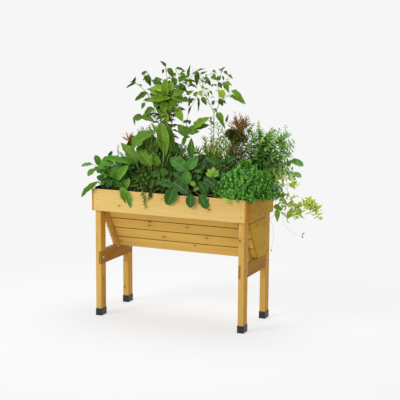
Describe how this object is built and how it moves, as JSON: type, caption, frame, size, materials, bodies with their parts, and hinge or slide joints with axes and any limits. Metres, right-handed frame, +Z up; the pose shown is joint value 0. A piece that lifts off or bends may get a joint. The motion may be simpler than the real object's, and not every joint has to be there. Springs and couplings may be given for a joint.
{
  "type": "elevated planter",
  "caption": "Raised wooden planter on legs: a fabric-lined trough with a sloping front and upright back, filled with soil and planted with herbs and vegetables.",
  "frame": {"origin": "middle of the underside of the front left foot cap, on the ground", "axes": "+X along the planter's length to the right, +Y from its sloping front to its upright back, +Z up"},
  "size_m": [1.4377, 0.477, 1.5157],
  "materials": {
    "softwood": "oiled light softwood with fine grain and brown knots",
    "softwood_side": "the same oiled softwood, a little deeper in colour",
    "foot_cap": "moulded black plastic",
    "zinc_steel": "zinc-plated steel",
    "liner_fabric": "black woven liner",
    "potting_soil": "dark crumbly potting compost",
    "tall_pepper_left_leaf": "mid-green leaves with paler new growth",
    "tall_pepper_right_leaf": "light green leaves on thin stems",
    "trailing_herb_leaf": "small yellow-green leaves",
    "bronze_herb_leaf": "bronze-red spikes over green",
    "chard_leaf": "large ribbed leaves",
    "round_leaved_greens_leaf": "round soft green leaves",
    "strawberry_leaf": "dark glossy toothed leaves",
    "parsley_leaf": "fine curled bright green leaves",
    "mint_leaf": "small dense mid-green leaves",
    "narrow_leaved_herb_leaf": "long narrow light green leaves"
  },
  "bodies": {
    "root": {"back_panel_batten_left": "softwood", "back_panel_batten_right": "softwood", "back_panel_board_1": "softwood", "back_panel_board_2": "softwood", "back_panel_board_3": "softwood", "back_panel_board_4": "softwood", "back_panel_board_5": "softwood", "bronze_herb": "bronze_herb_leaf", "chard": "chard_leaf", "floor_board_1": "softwood", "floor_board_2": "softwood", "front_left_bolt": "zinc_steel", "front_left_foot_cap": "foot_cap", "front_left_leg": "softwood", "front_left_nut": "zinc_steel", "front_left_washer": "zinc_steel", "front_panel_batten_left": "softwood", "front_panel_batten_right": "softwood", "front_panel_board_1": "softwood", "front_panel_board_2": "softwood", "front_panel_board_3": "softwood", "front_panel_board_4": "softwood", "front_panel_board_5": "softwood", "front_right_bolt": "zinc_steel", "front_right_foot_cap": "foot_cap", "front_right_leg": "softwood", "front_right_nut": "zinc_steel", "front_right_washer": "zinc_steel", "front_rim_board": "softwood", "left_corner_joiner": "softwood", "left_crossbar": "softwood_side", "left_end_board_lower": "softwood_side", "left_end_board_upper": "softwood_side", "left_rim_board": "softwood_side", "liner": "liner_fabric", "mint": "mint_leaf", "narrow_leaved_herb": "narrow_leaved_herb_leaf", "parsley": "parsley_leaf", "potting_soil": "potting_soil", "rear_left_bolt": "zinc_steel", "rear_left_foot_cap": "foot_cap", "rear_left_leg": "softwood", "rear_left_nut": "zinc_steel", "rear_left_washer": "zinc_steel", "rear_right_bolt": "zinc_steel", "rear_right_foot_cap": "foot_cap", "rear_right_leg": "softwood", "rear_right_nut": "zinc_steel", "rear_right_washer": "zinc_steel", "rear_rim_board": "softwood", "right_corner_joiner": "softwood", "right_crossbar": "softwood_side", "right_end_board_lower": "softwood_side", "right_end_board_upper": "softwood_side", "right_rim_board": "softwood_side", "round_leaved_greens": "round_leaved_greens_leaf", "strawberry": "strawberry_leaf", "tall_pepper_left": "tall_pepper_left_leaf", "tall_pepper_right": "tall_pepper_right_leaf", "trailing_herb": "trailing_herb_leaf"}
  },
  "joints": []
}
